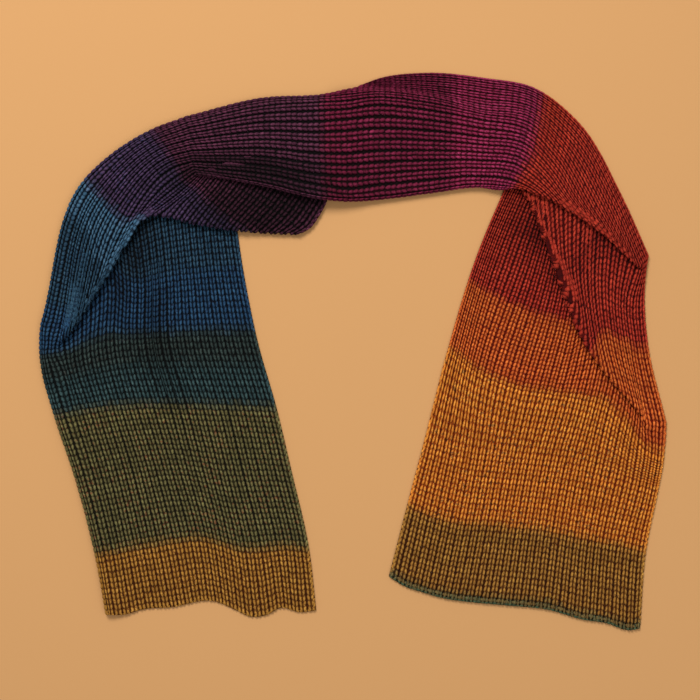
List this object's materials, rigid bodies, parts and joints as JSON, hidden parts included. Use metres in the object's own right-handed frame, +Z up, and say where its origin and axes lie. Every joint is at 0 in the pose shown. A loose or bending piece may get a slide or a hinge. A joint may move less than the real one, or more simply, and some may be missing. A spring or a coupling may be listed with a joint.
{
  "type": "knitted scarf",
  "caption": "Long scarf in a one by one rib of striped yarn, laid flat in an arch with its cloth tucked over itself at both corners.",
  "frame": {"origin": "middle of the footprint, on the surface that the scarf lies on", "axes": "+X from the left leg of the arch to the right leg, +Y from the two ends to the top of the arch, +Z up"},
  "size_m": [0.6292, 0.559, 0.0223],
  "materials": {
    "wool": "matte heathered wool knit in stripes"
  },
  "bodies": {
    "root": {"scarf": "wool"}
  },
  "joints": []
}
